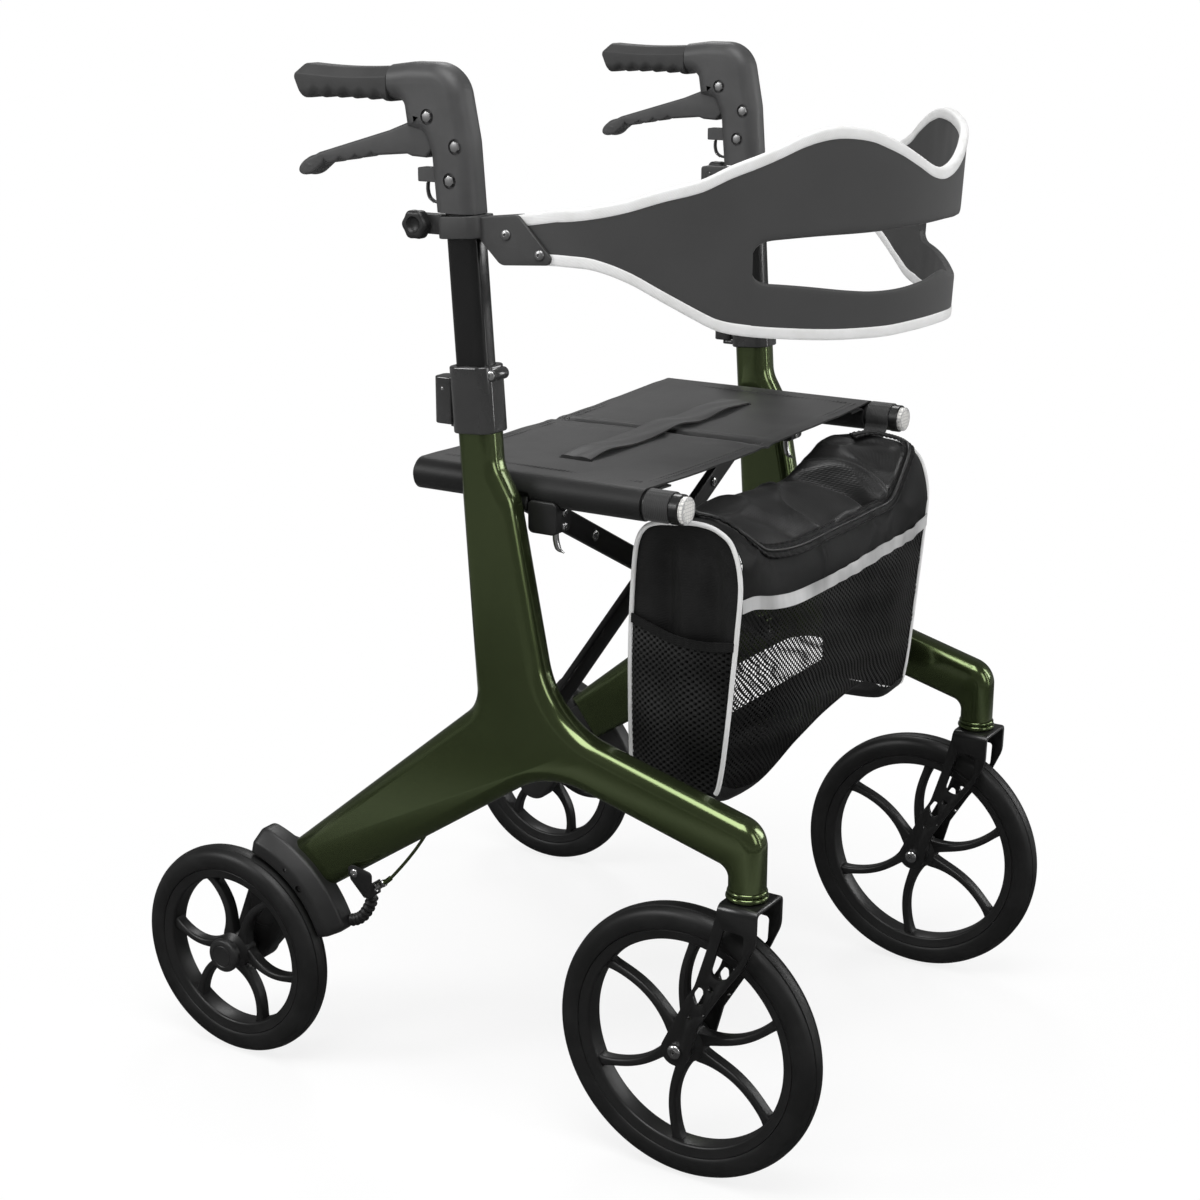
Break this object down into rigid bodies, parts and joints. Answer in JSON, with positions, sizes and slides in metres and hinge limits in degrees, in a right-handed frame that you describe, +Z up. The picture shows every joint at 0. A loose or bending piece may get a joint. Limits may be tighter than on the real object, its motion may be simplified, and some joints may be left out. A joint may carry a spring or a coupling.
{
  "type": "rollator",
  "caption": "Folding wheeled walker with moulded side frames, sling seat, front bag, curved backrest band, telescoping brake handles and swivelling front casters.",
  "frame": {"origin": "on the ground, at the middle of the object's width and depth", "axes": "+Z up; X across, with the walking user's right at -X; the front casters at -Y and the handgrips pointing towards +Y"},
  "size_m": [0.5966, 0.706, 0.9312],
  "materials": {
    "green_gloss": "clear lacquer, high gloss",
    "black_metal": "black coated",
    "black_gloss": "black, high gloss",
    "black_plastic": "satin",
    "grey_plastic": "matte",
    "grip": "matte",
    "tyre": "matte",
    "rubber": "matte",
    "steel": "bright zinc",
    "reflector": "retroreflective",
    "seat_cloth": "coated fabric",
    "bag_cloth": "coated nylon",
    "band_cloth": "smooth padded fabric"
  },
  "bodies": {
    "right_side": {"right_side_frame": "green_gloss", "right_caster_collar": "green_gloss", "right_brake_bracket": "black_plastic", "right_bellows": "rubber", "right_cable_bracket": "steel", "right_lower_cable": "green_gloss", "right_height_clamp": "black_plastic", "right_rail_rest": "black_plastic"},
    "left_side": {"left_side_frame": "green_gloss", "left_caster_collar": "green_gloss", "left_brake_bracket": "black_plastic", "left_bellows": "rubber", "left_cable_bracket": "steel", "left_lower_cable": "green_gloss", "left_height_clamp": "black_plastic", "left_rail_rest": "black_plastic"},
    "rear_cross": {"rear_cross_bar": "black_metal", "left_seat_rail": "black_metal", "left_rail_reflector": "reflector"},
    "front_cross": {"front_cross_bar": "black_metal", "centre_bolt": "steel", "right_seat_rail": "black_metal", "right_rail_reflector": "reflector", "seat": "seat_cloth", "pull_strap": "seat_cloth"},
    "bag_hanger": {"bag": "bag_cloth"},
    "right_handle": {"right_inner_post": "black_gloss", "right_handle_housing": "grey_plastic", "right_grip": "grip", "right_upper_cable": "black_plastic", "right_backrest_bracket": "black_plastic", "backrest_band": "band_cloth"},
    "left_handle": {"left_inner_post": "black_gloss", "left_handle_housing": "grey_plastic", "left_grip": "grip", "left_upper_cable": "black_plastic", "left_backrest_bracket": "black_plastic"},
    "right_lever": {"right_brake_lever": "grey_plastic"},
    "left_lever": {"left_brake_lever": "grey_plastic"},
    "right_knob": {"right_backrest_knob": "black_plastic"},
    "left_knob": {"left_backrest_knob": "black_plastic"},
    "right_paddle": {"right_clamp_lever": "black_plastic"},
    "left_paddle": {"left_clamp_lever": "black_plastic"},
    "right_caster": {"right_fork": "black_metal", "right_front_axle": "steel"},
    "left_caster": {"left_fork": "black_metal", "left_front_axle": "steel"},
    "right_front_wheel": {"right_front_rim": "black_plastic", "right_front_tyre": "tyre"},
    "left_front_wheel": {"left_front_rim": "black_plastic", "left_front_tyre": "tyre"},
    "right_rear_wheel": {"right_rear_rim": "black_plastic", "right_rear_tyre": "tyre", "right_rear_hub_cap": "black_plastic"},
    "left_rear_wheel": {"left_rear_rim": "black_plastic", "left_rear_tyre": "tyre", "left_rear_hub_cap": "black_plastic"},
    "right_shoe": {"right_brake_shoe": "rubber"},
    "left_shoe": {"left_brake_shoe": "rubber"}
  },
  "joints": [
    {"name": "fold", "type": "hinge", "parent": "right_side", "child": "rear_cross", "pos_m": [-0.216, -0.0415, 0.34212], "axis": [0, -1, 0], "range_deg": [0, 48], "deforming": ["seat", "pull_strap", "bag", "backrest_band"]},
    {"name": "cross", "type": "hinge", "parent": "rear_cross", "child": "front_cross", "pos_m": [0, -0.0465, 0.456], "axis": [0, 1, 0], "range_deg": [0, 96]},
    {"name": "left_foot", "type": "hinge", "parent": "front_cross", "child": "left_side", "pos_m": [0.216, -0.0515, 0.34212], "axis": [0, -1, 0], "range_deg": [0, 48]},
    {"name": "bag_swing", "type": "hinge", "parent": "front_cross", "child": "bag_hanger", "pos_m": [-0.213, -0.1801, 0.581], "axis": [0, -1, 0], "range_deg": [0, 48]},
    {"name": "right_height", "type": "slide", "parent": "right_side", "child": "right_handle", "axis": [0, 0.0663, 0.9978], "range_m": [-0.09, 0.03]},
    {"name": "left_height", "type": "slide", "parent": "left_side", "child": "left_handle", "axis": [0, 0.0663, 0.9978], "range_m": [-0.09, 0.03]},
    {"name": "right_brake", "type": "hinge", "parent": "right_handle", "child": "right_lever", "pos_m": [-0.2438, 0.01594, 0.8886], "axis": [1, 0, 0], "range_deg": [-8, 16], "stiffness_Nm_per_rad": 3},
    {"name": "left_brake", "type": "hinge", "parent": "left_handle", "child": "left_lever", "pos_m": [0.2438, 0.01594, 0.8886], "axis": [1, 0, 0], "range_deg": [-8, 16], "stiffness_Nm_per_rad": 3},
    {"name": "right_shoe_pivot", "type": "hinge", "parent": "right_side", "child": "right_shoe", "pos_m": [-0.26805, 0.19417, 0.19933], "axis": [1, 0, 0], "range_deg": [-1.5, 2.8]},
    {"name": "left_shoe_pivot", "type": "hinge", "parent": "left_side", "child": "left_shoe", "pos_m": [0.26805, 0.19417, 0.19933], "axis": [1, 0, 0], "range_deg": [-1.5, 2.8]},
    {"name": "right_knob_turn", "type": "hinge", "parent": "right_handle", "child": "right_knob", "pos_m": [-0.2523, 0.031, 0.8015], "axis": [1, 0, 0], "range_deg": [0, 360]},
    {"name": "left_knob_turn", "type": "hinge", "parent": "left_handle", "child": "left_knob", "pos_m": [0.2523, 0.031, 0.8015], "axis": [1, 0, 0], "range_deg": [0, 360]},
    {"name": "right_clamp_turn", "type": "hinge", "parent": "right_side", "child": "right_paddle", "pos_m": [-0.2388, 0.00749, 0.656], "axis": [0, 0, -1], "range_deg": [0, 90]},
    {"name": "left_clamp_turn", "type": "hinge", "parent": "left_side", "child": "left_paddle", "pos_m": [0.2388, 0.00749, 0.656], "axis": [0, 0, 1], "range_deg": [0, 90]},
    {"name": "right_swivel", "type": "hinge", "parent": "right_side", "child": "right_caster", "pos_m": [-0.2438, -0.2813, 0.2695], "axis": [0, 0, 1], "continuous": true},
    {"name": "left_swivel", "type": "hinge", "parent": "left_side", "child": "left_caster", "pos_m": [0.2438, -0.2813, 0.2695], "axis": [0, 0, 1], "continuous": true},
    {"name": "right_front_roll", "type": "hinge", "parent": "right_caster", "child": "right_front_wheel", "pos_m": [-0.2438, -0.228, 0.125], "axis": [1, 0, 0], "continuous": true},
    {"name": "left_front_roll", "type": "hinge", "parent": "left_caster", "child": "left_front_wheel", "pos_m": [0.2438, -0.228, 0.125], "axis": [1, 0, 0], "continuous": true},
    {"name": "right_rear_roll", "type": "hinge", "parent": "right_side", "child": "right_rear_wheel", "pos_m": [-0.2748, 0.2495, 0.1035], "axis": [1, 0, 0], "continuous": true},
    {"name": "left_rear_roll", "type": "hinge", "parent": "left_side", "child": "left_rear_wheel", "pos_m": [0.2748, 0.2495, 0.1035], "axis": [1, 0, 0], "continuous": true}
  ],
  "couplings": [
    {"joint": "cross", "follows": "fold", "ratio": 2},
    {"joint": "left_foot", "follows": "fold", "ratio": 1},
    {"joint": "bag_swing", "follows": "fold", "ratio": 1},
    {"joint": "left_height", "follows": "right_height", "ratio": 1},
    {"joint": "right_shoe_pivot", "follows": "right_brake", "ratio": 0.16},
    {"joint": "left_shoe_pivot", "follows": "left_brake", "ratio": 0.16}
  ]
}
